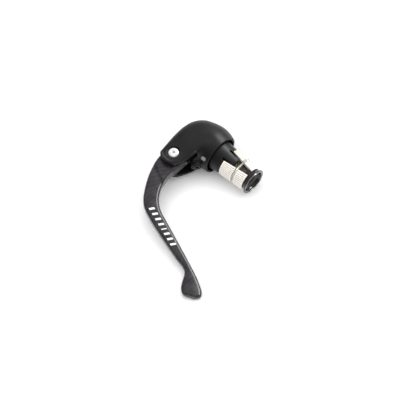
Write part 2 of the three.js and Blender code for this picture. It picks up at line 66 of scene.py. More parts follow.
RIB_WIDTH = 6.0
NECK_START, NECK_RADIUS, NECK_SLOPE = 5.0, 10.6, 0.15
NECK_CORE, NECK_END = 12.8, 19.8
NECK_TIP, NECK_TIP_RADIUS = NECK_CORE + 4, 5.8  # of the wedge under the segments
SEGMENT_START, SEGMENT_END = 13.1, 31.6
SEGMENT_OUTER, SEGMENT_OUTER_END = 10.4, 8.75
SEGMENT_GAP, SEGMENT_GAP_END = 9.6, 4.0
SEGMENT_TEETH, TOOTH_STEPS = 10, 10
SERRATION = 0.4  # depth of the grooves between the teeth
RING_X, RING_RADIUS = 23.3, 8.45
GROOVE_HALF, GROOVE_FLOOR = 0.95, 7.6  # of the groove for the garter spring
CONE_START, CONE_RADIUS, CONE_SLOPE = 26.4, 5.4, 0.45
BOLT_RADIUS, BOLT_BORE, BOLT_END = 4.2, 2.95, 28.4
AXLE_RADIUS, AXLE_BORE, AXLE_HEAD = 2.5, 1.65, 3.6
BLADE_HALF = 4.5
BLADE_EDGE = 1.7
BLADE_TAPER = 0.0054  # share of its thickness that the blade loses per millimetre below the seam
SEAM = -31.1


def pivot_in_model():
    for joint in frame["joints"]:
        if joint["name"] == "lever_pull":
            return Vector(joint["pos_m"])
    raise ValueError("the packed record has no lever_pull joint")


SHIFT = pivot_in_model() - Vector((PIVOT[0], PIVOT[1], 0)) / 1000


def place(point):
    return Vector(point) / 1000 + SHIFT


# ---------- mesh helpers ----------
def mesh_object(name, vertices, faces):
    mesh = bpy.data.meshes.new(name)
    mesh.from_pydata([tuple(v) for v in vertices], [], faces)
    mesh.update()
    made = bpy.data.objects.new(name, mesh)
    bpy.context.scene.collection.objects.link(made)
    return made


def faces_out(made, merge=True):
    """Turns every face outwards, and first makes one point of those that share a place, if asked."""
    shape = bmesh.new()
    shape.from_mesh(made.data)
    if merge:
        bmesh.ops.remove_doubles(shape, verts=shape.verts, dist=1e-5)
    bmesh.ops.recalc_face_normals(shape, faces=shape.faces)
    shape.to_mesh(made.data)
    shape.free()
    return made


def ring_mesh(name, rings, caps=True):
    """Faces between closed rings of points, and over both ends if asked."""
    count = len(rings[0])
    vertices = [point for ring in rings for point in ring]
    faces = []
    for i in range(len(rings) - 1):
        for j in range(count):
            a, b = i * count + j, i * count + (j + 1) % count
            faces.append((a, b, b + count, a + count))
    if caps:
        faces.append(tuple(reversed(range(count))))
        faces.append(tuple(range(len(vertices) - count, len(vertices))))
    return mesh_object(name, vertices, faces)


def rings_object(name, rings, caps=True):
    return faces_out(ring_mesh(name, rings, caps))


def rod(start, end, radius):
    """The profile of a plain rod, for turned()."""
    return [(start, 0), (start, radius), (end, radius), (end, 0)]


def turned(name, profile, centre=(0, 0, 0), axis="X", sides=96):
    """A profile of (along, radius) points turned about an axis; it is closed, or both its ends are on it."""
    rows = []
    for along, radius in profile:
        ring = []
        for j in range(sides):
            angle = 2 * math.pi * j / sides
            y, z = radius * math.cos(angle), radius * math.sin(angle)
            ring.append((along, y, z) if axis == "X" else (y, z, along))
        rows.append([Vector(p) + Vector(centre) for p in ring])
    return rings_object(name, rows, caps=False)


def turned_between(name, profile, start, end, sides=48):
    """The same, along the line from one point to another."""
    made = turned(name, profile, sides=sides)
    direction = (end - start).normalized()
    turn = Vector((1, 0, 0)).rotation_difference(direction).to_matrix().to_4x4()
    made.data.transform(Matrix.Translation(start) @ turn)
    return made


def prism(name, outline, low, high, axis="Z"):
    """An outline of (a, b) points carried along an axis: (x, y) along Z, or (y, z) along X."""
    rings = []
    for level in (low, high):
        if axis == "Z":
            rings.append([(a, b, level) for a, b in outline])
        else:
            rings.append([(level, a, b) for a, b in outline])
    return rings_object(name, rings)


def hexagon(across, centre=(0, 0), turn=0.0):
    radius = across / math.sqrt(3)
    angles = [turn + k * math.pi / 3 for k in range(6)]
    return [(centre[0] + radius * math.cos(a), centre[1] + radius * math.sin(a)) for a in angles]


def tube(name, points, radius, sides=12, closed=False):
    points = [Vector(p) for p in points]
    count = len(points)
    rings = []
    side = None
    for i, point in enumerate(points):
        after = points[(i + 1) % count] if closed or i + 1 < count else point
        before = points[i - 1] if closed or i else point
        along = (after - before).normalized()
        if side is None:
            side = along.cross(Vector((0.3, 0.2, 1))).normalized()
        side = (side - along * side.dot(along)).normalized()
        up = along.cross(side)
        angles = [2 * math.pi * k / sides for k in range(sides)]
        rings.append([point + radius * (side * math.cos(a) + up * math.sin(a)) for a in angles])
    if closed:
        rings.append(rings[0])
    return rings_object(name, rings, caps=not closed)


def spline(points, count):
    """Evenly spread parameters on a Catmull-Rom curve through rows of numbers."""
    data = np.array(points, float)
    padded = np.vstack([2 * data[0] - data[1], data, 2 * data[-1] - data[-2]])
    out = []
    for t in np.linspace(0, len(data) - 1, count):
        i = min(int(t), len(data) - 2)
        s = t - i
        a, b, c, d = padded[i : i + 4]
        cubic = 2 * b + (c - a) * s + (2 * a - 5 * b + 4 * c - d) * s**2
        out.append((cubic + (3 * b - a - 3 * c + d) * s**3) / 2)
    return np.array(out)


def applied(made):
    """The object with its modifiers made part of its mesh."""
    bpy.context.view_layer.update()
    ready = made.evaluated_get(bpy.context.evaluated_depsgraph_get())
    mesh = bpy.data.meshes.new_from_object(ready)
    made.modifiers.clear()
    old = made.data
    made.data = mesh
    bpy.data.meshes.remove(old)
    return made


def combined(body, others, operation):
    for other in others:
        change = body.modifiers.new("change", "BOOLEAN")
        change.operation = operation
        change.solver = "MANIFOLD"
        change.object = other
        applied(body)
        bpy.data.objects.remove(other)
    return body


def moulded(body, voxel, passes):
    """Evens out the mesh and rounds every edge a little, as moulding does."""
    even = body.modifiers.new("even", "REMESH")
    even.mode = "VOXEL"
    even.voxel_size = voxel
    even.adaptivity = 0
    soft = body.modifiers.new("soft", "SMOOTH")
    soft.factor = 0.5
    soft.iterations = passes
    return applied(body)


def broken_edges(body, width):
    """A small bevel on every sharp edge."""
    edge = body.modifiers.new("edge", "BEVEL")
    edge.width = width
    edge.segments = 2
    edge.limit_method = "ANGLE"
    edge.angle_limit = math.radians(28)
    edge.use_clamp_overlap = True
    return applied(body)


def finished(made, body, slot, material, *nodes):
    """Carries a piece into the model's frame, and gives it its material and, if it doesn't bend, its body;
    its slot is not used.
    """
    made.data.transform(Matrix.Translation(SHIFT) @ Matrix.Scale(0.001, 4))
    made.data.shade_smooth()
    made.data.set_sharp_from_angle(angle=math.radians(32))
    made.data.materials.clear()
    made.data.materials.append(material)
    if body:
        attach(made, body)
    if nodes:
        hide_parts(*nodes)
    return made


# ---------- materials ----------
class Nodes:
    """Short calls for a material's node tree."""

    def __init__(self, name):
        self.material = bpy.data.materials.new(name)
        self.material.use_nodes = True
        self.tree = self.material.node_tree
        self.shader = self.tree.nodes["Principled BSDF"]
        self.place = self.add("ShaderNodeTexCoord").outputs["Object"]

    def add(self, kind, **settings):
        node = self.tree.nodes.new(kind)
        for key, value in settings.items():
            setattr(node, key, value)
        return node

    def link(self, source, target):
        self.tree.links.new(source, target)

    def put(self, name, value):
        self.shader.inputs[name].default_value = value

    def feed(self, name, value):
        self.link(value, self.shader.inputs[name])

    def stretched(self, scale):
        node = self.add("ShaderNodeMapping")
        node.inputs["Scale"].default_value = scale
        self.link(self.place, node.inputs["Vector"])
        return node.outputs["Vector"]

    def noise(self, size_mm, detail, stretch=None):
        node = self.add("ShaderNodeTexNoise")
        node.inputs["Scale"].default_value = 1000 / size_mm
        node.inputs["Detail"].default_value = detail
        self.link(self.stretched(stretch) if stretch else self.place, node.inputs["Vector"])
        return node.outputs["Fac"]

    def spread(self, value, low, high, start=0.3, end=0.7):
        node = self.add("ShaderNodeMapRange")
        for name, number in (("From Min", start), ("From Max", end), ("To Min", low), ("To Max", high)):
            node.inputs[name].default_value = number
        self.link(value, node.inputs["Value"])
        return node.outputs["Result"]

    def math(self, operation, first, second=0):
        node = self.add("ShaderNodeMath", operation=operation)
        for socket, value in zip(node.inputs, (first, second)):
            if isinstance(value, (int, float)):
                socket.default_value = value
            else:
                self.link(value, socket)
        return node.outputs["Value"]

    def colours(self, value, dark, light):
        node = self.add("ShaderNodeMix", data_type="RGBA")
        node.inputs[6].default_value = (*dark, 1)
        node.inputs[7].default_value = (*light, 1)
        self.link(value, node.inputs["Factor"])
        return node.outputs[2]

    def bump(self, height, depth_mm, strength):
        node = self.add("ShaderNodeBump")
        node.inputs["Strength"].default_value = strength
        node.inputs["Distance"].default_value = depth_mm / 1000
        self.link(height, node.inputs["Height"])
        return node.outputs["Normal"]

    def painted_ridge_light(self, strength):
        """A painted highlight: high on ridges, low in hollows."""
        pointed = self.add("ShaderNodeNewGeometry").outputs["Pointiness"]
        return self.spread(pointed, 0, strength, 0.5, 0.6)


def moulded_plastic():
    n = Nodes("moulded_black_plastic")
    broad, fine = n.noise(9, 2), n.noise(0.28, 2)
    # Random tone, with a painted highlight on ridges and edges added on top.
    tone_and_ridge_light = n.math("ADD", n.spread(broad, 0, 0.6), n.painted_ridge_light(0.5))
    n.feed("Base Color", n.colours(tone_and_ridge_light, (0.0035, 0.0032, 0.0036), (0.0085, 0.008, 0.0086)))
    grain = n.math("MULTIPLY", broad, n.spread(fine, 0.8, 1.2))
    n.feed("Roughness", n.spread(grain, 0.36, 0.5, 0.2, 0.8))
    n.feed("Normal", n.bump(fine, 0.022, 0.55))
    n.put("Specular IOR Level", 0.31)
    return n.material


def carbon_laminate():
    """A 2 by 2 twill of flat tows under clear coat, laid along the blade by its own coordinates."""
    n = Nodes("clear_coated_carbon")
    tow = 0.9  # width of a tow, in millimetres
    along = n.add("ShaderNodeSeparateXYZ")
    n.link(n.add("ShaderNodeUVMap", uv_map="laid").outputs["UV"], along.inputs["Vector"])
    u = n.math("DIVIDE", along.outputs["X"], tow)
    v = n.math("DIVIDE", along.outputs["Y"], tow)
    step = n.math("ADD", n.math("FLOOR", u), n.math("FLOOR", v))
    quarter = n.math("FRACT", n.math("DIVIDE", step, 4.0))
    over = n.math("LESS_THAN", quarter, 0.5)
    across_u = n.math("ABSOLUTE", n.math("SUBTRACT", n.math("FRACT", u), 0.5))
    across_v = n.math("ABSOLUTE", n.math("SUBTRACT", n.math("FRACT", v), 0.5))
    under = n.math("SUBTRACT", 1.0, over)
    crown = n.math("ADD", n.math("MULTIPLY", across_u, over), n.math("MULTIPLY", across_v, under))
    threads = n.noise(0.18, 2, stretch=(1, 1, 0.3))
    patches = n.spread(n.noise(4.5, 3), 0, 1, 0.36, 0.64)
    weave = n.math("ADD", n.math("MULTIPLY", over, 0.25), n.math("MULTIPLY", threads, 0.3))
    tone = n.math("ADD", weave, n.math("MULTIPLY", patches, 0.45))
    n.feed("Base Color", n.colours(tone, (0.006, 0.0052, 0.0062), (0.036, 0.032, 0.0375)))
    n.feed("Roughness", n.spread(tone, 0.26, 0.38, 0, 1))
    n.feed("Normal", n.bump(n.math("SUBTRACT", 1.0, crown), 0.05, 0.35))
    n.put("Specular IOR Level", 0.2)
    n.put("Coat Weight", 0.9)
    n.put("Coat Roughness", 0.1)
    n.put("Coat IOR", 1.36)
    return n.material


# How the tool lines lie: a pattern runs on along the axes that have a small scale.
ROUND_X = (1, 0.04, 0.04)
ROUND_Z = (0.04, 0.04, 1)
ALONG_X = (0.04, 1, 1)
ALONG_Z = (1, 1, 0.05)
NO_LINES = (1, 1, 1)


def machined(name, dark, light, roughness, lie=ROUND_X, line_mm=0.12, metallic=1.0, coat=0.0):
    """Metal with fine tool lines and a little staining."""
    n = Nodes(name)
    lines, stain = n.noise(line_mm, 2, lie), n.noise(3.2, 3)
    tone = n.math("ADD", n.math("MULTIPLY", lines, 0.35), n.math("MULTIPLY", stain, 0.65))
    n.feed("Base Color", n.colours(n.spread(tone, 0, 1), dark, light))
    n.feed("Roughness", n.spread(tone, roughness * 0.75, roughness * 1.3))
    n.feed("Normal", n.bump(lines, 0.012, 0.4))
    n.put("Metallic", metallic)
    if coat:
        n.put("Coat Weight", coat)
        n.put("Coat Roughness", 0.08)
    return n.material


def printed(name, dark, light):
    n = Nodes(name)
    n.feed("Base Color", n.colours(n.spread(n.noise(0.5, 3), 0, 1), dark, light))
    n.feed("Roughness", n.spread(n.noise(1.4, 2), 0.3, 0.45))
    n.feed("Normal", n.bump(n.noise(0.2, 2), 0.008, 0.3))
    return n.material


def table_top():
    n = Nodes("pale_table")
    n.feed("Base Color", n.colours(n.noise(60, 2), (0.93, 0.93, 0.935), (0.96, 0.96, 0.965)))
    n.put("Roughness", 0.75)
    n.put("Specular IOR Level", 0.2)
    return n.material


plastic = moulded_plastic()
carbon = carbon_laminate()
pale_alloy = machined(
    "pale_satin_alloy", (0.83, 0.80, 0.75), (0.92, 0.89, 0.84), 0.5, ALONG_X, 0.2, metallic=0.15
)
# A darker alloy, laid in the grooves between the segments' teeth as painted shade.
groove_shade_alloy = machined(
    "groove_shade_alloy", (0.48, 0.43, 0.38), (0.64, 0.58, 0.52), 0.6, ALONG_X, 0.2, metallic=0.2
)
head_alloy = machined(
    "turned_pale_alloy", (0.66, 0.66, 0.65), (0.84, 0.84, 0.83), 0.3, ROUND_Z, 0.1, metallic=0.4
)
dark_alloy = machined(
    "dark_anodised_alloy", (0.010, 0.0075, 0.0075), (0.032, 0.024, 0.024), 0.2, ROUND_X, 0.2, 0.5, coat=0.5
)
black_alloy = machined(
    "black_anodised_alloy", (0.02, 0.0195, 0.021), (0.045, 0.043, 0.046), 0.34, ALONG_Z, 0.2, metallic=0.6
)
zinc = machined("yellow_zinc_steel", (0.36, 0.36, 0.1), (0.66, 0.63, 0.24), 0.3)
bronzed = machined("brownish_treated_steel", (0.11, 0.09, 0.075), (0.24, 0.2, 0.17), 0.4, line_mm=0.2)
steel = machined("bright_steel", (0.55, 0.55, 0.54), (0.82, 0.82, 0.81), 0.26)
bright_wire = machined(
    "bright_spring_wire", (0.62, 0.62, 0.58), (0.84, 0.84, 0.8), 0.3, NO_LINES, 0.3, metallic=0.6
)
worn_steel = machined("worn_steel", (0.12, 0.115, 0.11), (0.3, 0.29, 0.28), 0.35)
black_steel = machined(
    "black_oxide_steel", (0.02, 0.018, 0.018), (0.05, 0.046, 0.045), 0.32, NO_LINES, 0.3, metallic=0.8
)
brass = machined("turned_brass", (0.5, 0.36, 0.14), (0.72, 0.56, 0.27), 0.3, ROUND_Z)
bush_plastic = printed("grey_bush_plastic", (0.2, 0.195, 0.175), (0.28, 0.27, 0.25))
white_ink = printed("white_ink", (0.8, 0.8, 0.8), (0.9, 0.9, 0.9))
grey_ink = printed("pale_grey_ink", (0.16, 0.16, 0.165), (0.24, 0.24, 0.245))

# ---------- bracket ----------
# Sections of the moulded shell, from the skirt's rim to the fork's nose: the
# back's point, the belly's point, the half width, and the powers of the
# rounded outline on the back and belly sides.
SHELL_SECTIONS = [
    (5.2, 13.8, 5.2, -13.8, 13.8, 2.0, 2.0),
    (0.8, 15.4, 1.6, -13.9, 13.9, 1.95, 2.15),
    (-5.0, 16.2, -0.8, -14.0, 13.8, 1.9, 2.6),
    (-12.2, 15.0, -1.7, -14.8, 13.3, 1.9, 3.3),
    (-19.6, 11.7, -2.5, -16.6, 12.6, 2.0, 4.0),
    (-24.6, 5.4, -3.3, -18.8, 11.7, 2.15, 4.6),
    (-26.2, -3.0, -4.3, -21.4, 10.8, 2.5, 5.0),
    (-26.0, -12.0, -5.8, -24.4, 10.0, 2.7, 5.5),
    (-24.8, -20.0, -8.0, -27.7, 9.4, 3.2, 7.0),
    (-23.2, -26.4, -11.2, -30.3, 9.1, 4.0, 8.0),
    (-18.6, -30.8, -15.4, -31.2, 9.0, 5.0, 8.0),
]
SHELL_STEPS = 400  # between the first section and the last, before they are thinned out


def signed_power(value, power):
    return math.copysign(abs(value) ** (2 / power), value)


def shell(name, steps, around, start=0.0, end=1.0, wall=0.0, belly_reach=0.0):
    """The moulding's outside, or, with a wall, the room in it, between two shares of its length."""
    table = spline(SHELL_SECTIONS, SHELL_STEPS + 1)
    rings = []
    for i in range(steps + 1):
        row = table[round(SHELL_STEPS * (start + (end - start) * i / steps))]
        back, belly = Vector((row[0], row[1], 0)), Vector((row[2], row[3], 0))
        across = back - belly
        length = across.length
        across.normalize()
        ring = []
        for j in range(around):
            angle = 2 * math.pi * j / around
            on_back = math.cos(angle) > 0
            power = row[5] if on_back else row[6]
            reach = length / 2 - wall if on_back else length / 2 + belly_reach
            along = length / 2 + reach * signed_power(math.cos(angle), power)
            height = (row[4] - wall) * signed_power(math.sin(angle), power)
            point = belly + across * along
            ring.append((point.x, point.y, height))
        rings.append(ring)
    return rings_object(name, rings)


def neck_radius(x):
    return NECK_RADIUS - NECK_SLOPE * (x - NECK_START)


def rib_angle(number):
    """Round the bar's axis, in radians. A number with a fraction lies between two ribs."""
    return math.radians(RIB_FIRST + number * 360 / RIBS)


def neck():
    """The tapered neck, its three ribs, and the slots beside the ribs."""
    core = turned("neck", [
        (-PARTITION, 0), (-PARTITION, NECK_RADIUS), (NECK_START, NECK_RADIUS),
        (NECK_CORE, neck_radius(NECK_CORE)), (NECK_CORE, 7.5), (NECK_TIP, NECK_TIP_RADIUS), (NECK_TIP, 0),
    ])
    inner = NECK_CORE - 1
    sleeve = [(inner, 0), (inner, neck_radius(inner)), (NECK_END, neck_radius(NECK_END)), (NECK_END, 0)]
    half, clear = RIB_WIDTH / 2, 14  # clear of the neck's surface
    for k in range(RIBS):
        bar = prism("rib", [(4.8, -half), (clear, -half), (clear, half), (4.8, half)], 9, NECK_END + 1, "X")
        bar.data.transform(Matrix.Rotation(rib_angle(k), 4, "X"))
        combined(bar, [turned("sleeve", sleeve)], "INTERSECT")
        combined(core, [bar], "UNION")
        for side in (-1, 1):
            near, far = sorted((side * (half + 0.1), side * (half + 1.4)))
            slot = prism("slot", [(5.6, near), (clear, near), (clear, far), (5.6, far)], 11, NECK_TIP, "X")
            slot.data.transform(Matrix.Rotation(rib_angle(k), 4, "X"))
            combined(core, [slot], "DIFFERENCE")
    return core


# The middle of the bead along the lower edge of the near leg of the fork, from its front to the skirt.
LEG_EDGE = [
    (-20.8, -21.0, 5.6), (-21.8, -24.6, 6.9), (-21.7, -27.2, 7.75), (-20.4, -29.0, 8.15),
    (-18.3, -30.0, 8.35), (-15.4, -30.4, 8.4), (-11.9, -29.8, 8.5), (-8.9, -27.2, 8.7), (-7.1, -23.7, 9.0),
    (-5.9, -20.3, 9.6), (-5.0, -17.3, 10.2), (-4.4, -14.6, 10.4), (-4.6, -12.4, 10.2),
]
BEAD_RADIUS = 1.0
MOULD_VOXEL, MOULD_PASSES = 0.24, 14


def leg_bead(side):
    """The raised bead along the lower edge of one of the fork's legs."""
    path = [(x, y, side * z) for x, y, z in spline(LEG_EDGE, 60)]
    return tube("bead", path, BEAD_RADIUS)


def along_screw(share):
    """On the reach screw's axis: 0 at its tip, 1 under its head."""
    return REACH_TIP.lerp(REACH_HEAD, share)


def screw_boss():
    """The boss of the reach screw, and the flat bar across it that joins it to the fork."""
    tail, head = along_screw(0.36), along_screw(1.12)
    length = (head - tail).length
    angles = np.linspace(0, 2 * math.pi, 41)[:-1]
    rounded = [(2.2 * signed_power(math.cos(a), 2.6), 7 * signed_power(math.sin(a), 7)) for a in angles]
    bar = prism("bar", rounded, 0, 0.55 * length, "X")
    along = math.atan2(head.y - tail.y, head.x - tail.x)
    bar.data.transform(Matrix.Translation(tail) @ Matrix.Rotation(along, 4, "Z"))
    return [bar, turned_between("boss", rod(0, length, 3.9), tail, head)]


def bracket_holes():
    """Room for the bolt, the nut, the reach screw and the axle, and a well round each end of the axle."""
    start, end = along_screw(-0.6), along_screw(1.6)
    reach = (end - start).length
    through = 20  # further than the bracket's faces
    holes = [
        turned("bolt_head_room", rod(-6, 4.9, 6.6)),
        turned("bolt_room", rod(0, through, BOLT_RADIUS + 0.25)),
        turned("nut_room", rod(NECK_TIP, through, NECK_TIP_RADIUS)),
        turned_between("screw_room", rod(0, reach, 2.0), start, end),
        turned_between("head_room", rod(0, reach, 2.9), along_screw(0.95), end),
        turned("axle_room", rod(-through, through, AXLE_RADIUS + 0.25), (*PIVOT, 0), "Z"),
    ]
    for side in (-1, 1):
        low, high = sorted((side * (FORK_FACE - 1.3), side * through))
        holes.append(turned("well", rod(low, high, AXLE_HEAD + 0.5), (*PIVOT, 0), "Z"))
    return holes


def bracket():
    body = shell("bracket_shell", 150, 150)
    swing = [(-3.21, -10.5), (-3.21, 4.5), (-10, 6.5), (-18, 4.5), (-21, -6), (-21, -13.5), (-32, -14.5),
             (-32, -40), (-4, -40), (-5.2, -16.6)]
    cuts = [
        turned("socket", rod(0, SOCKET_DEPTH + 2, SOCKET_RADIUS)),
        shell("chamber", 60, 60, 0.34, 0.8, SHELL_WALL, 5),
        prism("fork", swing, -FORK_HALF_GAP, FORK_HALF_GAP),
    ]
    combined(body, [leg_bead(1), leg_bead(-1)], "UNION")
    combined(body, cuts, "DIFFERENCE")
    combined(body, [*screw_boss(), neck()], "UNION")
    combined(body, bracket_holes(), "DIFFERENCE")
    moulded(body, MOULD_VOXEL, MOULD_PASSES)
    body.name = "bracket_moulding"
    return finished(body, "bracket", "bracket_plastic", plastic, "bracket_body")


# ---------- expander ----------
SCREW_SIDES = 48
STEPS_PER_TURN = 8


def threaded(start, end, radius, pitch, depth):
    """Rows of points for a threaded stretch along X."""
    rows = []
    count = max(2, round((end - start) / pitch * STEPS_PER_TURN))
    for i in range(count + 1):
        x = start + (end - start) * i / count
        ring = []
        for j in range(SCREW_SIDES):
            angle = 2 * math.pi * j / SCREW_SIDES
            phase = (x / pitch - j / SCREW_SIDES) % 1.0
            r = radius - depth * abs(2 * phase - 1)
            ring.append((x, r * math.cos(angle), r * math.sin(angle)))
        rows.append(ring)
    return rows


def flat_rings(profile):
    """Rows of points for a plain stretch along X, through (along, radius) points."""
    angles = [2 * math.pi * j / SCREW_SIDES for j in range(SCREW_SIDES)]
    return [[(x, radius * math.cos(a), radius * math.sin(a)) for a in angles] for x, radius in profile]


def hollow_bolt():
    end, key = BOLT_END, 5.4
    head = [(0.4, 3.3), (0.4, 5.6), (0.8, 6.0), (3.6, 6.0), (3.8, 5.8), (3.8, BOLT_RADIUS)]
    bore = [(end, 3.8), (end, BOLT_BORE), (8, BOLT_BORE), (8, 1.4), (key, 1.4), (0.4, 1.4), (0.4, 3.3)]
    rows = flat_rings(head) + threaded(9, 28.0, BOLT_RADIUS, 1.0, 0.28) + flat_rings(bore)
    body = rings_object("hollow_bolt", rows, caps=False)
    combined(body, [prism("key", hexagon(6), -1, key, "X")], "DIFFERENCE")
    return finished(body, "bolt", "zinc_steel", zinc, "expander_bolt")


def washer():
    profile = [(3.9, 4.45), (3.9, 6.15), (4.05, 6.3), (4.65, 6.3), (4.8, 6.15), (4.8, 4.45), (3.9, 4.45)]
    return finished(turned("bolt_washer", profile), "bracket", "steel", steel, "expander_washer")


def cone_radius(x):
    return CONE_RADIUS + CONE_SLOPE * (x - CONE_START)


def nut():
    profile = [
        (20.6, 4.45), (20.6, 5.2), (20.85, 5.45), (21.5, 5.45), (21.6, 5.3), (21.9, 5.3), (22.0, 5.45),
        (CONE_START, 5.45), (28.3, cone_radius(28.3)), (28.3, 5.2), (31.6, 5.2), (31.6, 4.45), (20.6, 4.45),
    ]
    return finished(turned("barrel_nut", profile), "cone", "bronzed_steel", bronzed, "expander_nut")


def cone():
    flare = [(31.2, cone_radius(31.2)), (32.0, 7.66), (32.8, 7.8), (33.4, 8.03), (33.8, 8.35)]
    lip = [(34.46 + 0.46 * math.cos(a), 8.62 + 0.63 * math.sin(a)) for a in np.linspace(2.95, -0.6, 16)]
    mouth = [(34.8, 8.1), (34.6, 7.75), (34.0, 7.4), (33.2, 7.05), (32.5, 6.6), (32.05, 5.8), (31.75, 4.7)]
    outside = [(28.4, 5.3), (28.4, cone_radius(28.4))] + [tuple(p) for p in spline(flare, 20)]
    inside = [tuple(p) for p in spline(mouth, 22)]
    profile = outside + lip + inside + [(31.7, 4.6), (31.7, 5.3), (28.4, 5.3)]
    around = np.linspace(0, 2 * math.pi, 9)
    # A thin bright steel line round the lip's edge: a painted highlight of the lip.
    painted_ridge_light = [(34.83 + 0.12 * math.cos(a), 8.02 + 0.1 * math.sin(a)) for a in around]
    finished(turned("painted_rim_highlight", painted_ridge_light, sides=128), "cone", "dark_alloy", steel)
    body = turned("flared_cone", profile, sides=128)
    return finished(body, "cone", "dark_alloy", dark_alloy, "expander_cone")


def segment(number):
    """One of the three serrated segments, from one rib to the next."""
    def share_along(x):
        return (x - SEGMENT_START) / (SEGMENT_END - SEGMENT_START)

    def outer(x):
        return SEGMENT_OUTER + (SEGMENT_OUTER_END - SEGMENT_OUTER) * share_along(x)

    def gap(x):
        return SEGMENT_GAP + (SEGMENT_GAP_END - SEGMENT_GAP) * share_along(x)

    # Points of (along, radius, share of the serration's depth).
    start, end = SEGMENT_START, SEGMENT_END
    low, high = RING_X - GROOVE_HALF, RING_X + GROOVE_HALF
    profile = [(start, 7.95, 0), (start, outer(start) - 0.5, 0), (start + 0.15, outer(start) - 0.15, 0.6)]
    profile += [(x, outer(x), 1) for x in np.linspace(start + 0.6, low - 0.25, 8)]
    profile += [(low, outer(low) - 0.25, 0.3), (low, GROOVE_FLOOR, 0)]
    profile += [(high, GROOVE_FLOOR, 0), (high, outer(high) - 0.25, 0.3)]
    profile += [(x, outer(x), 1) for x in np.linspace(high + 0.25, end - 0.6, 8)]
    profile += [(end - 0.15, outer(end) - 0.15, 0.6), (end, outer(end) - 0.4, 0), (end, 8.08, 0)]
    profile += [(27.2, 6.1, 0), (16.8, 6.1, 0)]
    first = rib_angle(number)
    last = first + 2 * math.pi / RIBS
    samples = SEGMENT_TEETH * TOOTH_STEPS
    rings = []
    for i in range(samples + 1):
        share = i / samples
        phase = (share * SEGMENT_TEETH) % 1.0
        tooth = min(1.0, min(phase, 1 - phase) / 0.25)
        ring = []
        for x, r, serrated in profile:
            inset = math.asin(gap(x) / 2 / r)
            angle = first + inset + (last - first - 2 * inset) * share
            radius = r - SERRATION * (1 - tooth) * serrated
            ring.append((x, radius * math.cos(angle), radius * math.sin(angle)))
        rings.append(ring)
    body = rings_object(f"serrated_segment_{number + 1}", rings)
    finished(body, f"segment_{number + 1}", "pale_alloy", pale_alloy, f"expander_segment_{number + 1}")
    # The faces in the grooves between the teeth take the darker alloy: painted shade in the grooves.
    body.data.materials.append(groove_shade_alloy)
    for face in body.data.polygons:
        centre = (face.center - SHIFT) * 1000
        below = outer(centre.x) - math.hypot(centre.y, centre.z)
        in_groove = start + 0.6 < centre.x < end - 0.6 and abs(centre.x - RING_X) > 1.2
        face.material_index = int(in_groove and 0.3 * SERRATION < below < 1.2 * SERRATION)


def rides_on_segment(piece):
    """Bakes the piece's place into its mesh; it is attached to no body."""
    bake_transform(piece)


def coiled_ring(number):
    """A third of the garter spring: a fine coil bent round one segment, in its groove."""
    turns, per_turn = 37, 10
    coil, wire = 0.58, 0.19
    sag, sag_ends = 0.75, 22  # how far it sinks over a rib, and how many degrees from there it is level again
    points = []
    for i in range(turns * per_turn + 1):
        share = i / (turns * per_turn)
        angle = rib_angle(number + share)
        wind = 2 * math.pi * turns * share
        from_rib = 360 / RIBS * min(share, 1 - share)
        slack = sag * max(0.0, 1 - (from_rib / sag_ends) ** 2)
        r = RING_RADIUS - slack + coil * math.cos(wind)
        points.append((RING_X + coil * math.sin(wind), r * math.cos(angle), r * math.sin(angle)))
    body = tube(f"garter_spring_{number + 1}", points, wire, 6)
    nodes = ["segment_spring_ring"] if number == 0 else []
    finished(body, None, "steel", bright_wire, *nodes)
    rides_on_segment(body)


def ring_hook():
    """The loop that hooks the garter spring's ends together, over its last third."""
    radius, wire, above = 0.9, 0.24, 1.3
    angle = rib_angle(-0.25)
    outward = Vector((0, math.cos(angle), math.sin(angle)))
    centre = Vector((RING_X, 0, 0)) + outward * (RING_RADIUS + above)
    around = np.linspace(0, 2 * math.pi, 29)[:-1]
    loop = [centre + Vector((radius, 0, 0)) * math.cos(a) + outward * radius * math.sin(a) for a in around]
    body = tube("garter_spring_hook", loop, wire, 10, closed=True)
    finished(body, None, "steel", bright_wire)
    rides_on_segment(body)


# ---------- lever ----------
# Rungs across the blade, from the seam to the tip: a point on the outer edge
# and the point facing it on the inner edge.
BLADE_RUNGS = [
    (-22.2, -31.1, -7.75, -31.1),
    (-21.6, -34.0, -8.0, -34.0),
    (-20.9, -37.0, -7.85, -37.2),
    (-18.0, -44.2, -6.3, -43.2),
    (-13.6, -52.0, -3.7, -48.4),
    (-8.6, -59.0, -0.6, -52.5),
    (-3.4, -63.4, 2.8, -55.6),
    (4.0, -66.7, 7.6, -58.4),
    (17.3, -71.0, 20.0, -63.2),
    (36.7, -76.4, 39.2, -70.6),
    (44.6, -78.2, 47.5, -73.9),
    (48.4, -80.6, 52.5, -75.9),
    (50.8, -84.6, 57.5, -78.1),
    (52.9, -88.2, 62.6, -80.8),
    (55.4, -91.1, 66.4, -83.4),
    (58.8, -92.5, 67.9, -86.2),
    (62.3, -91.1, 67.0, -88.3),
    (64.4, -90.1, 65.7, -89.4),
]
CREASE = (Vector((-20.6, -34.7)), Vector((-8.7, -40.4)))  # where the blade drops below its root's face
CREASE_DROP, CREASE_WIDTH = 1.05, 1.8
CREASE_LEVEL, CREASE_FADE = 3, 26  # from here the drop fades out, over this length
CROWN, PADDLE_CROWN = 0.34, 0.6  # the second is added on the paddle
PADDLE_Y, PADDLE_FADE = -74, 10  # the paddle's crown is added from here, over this length


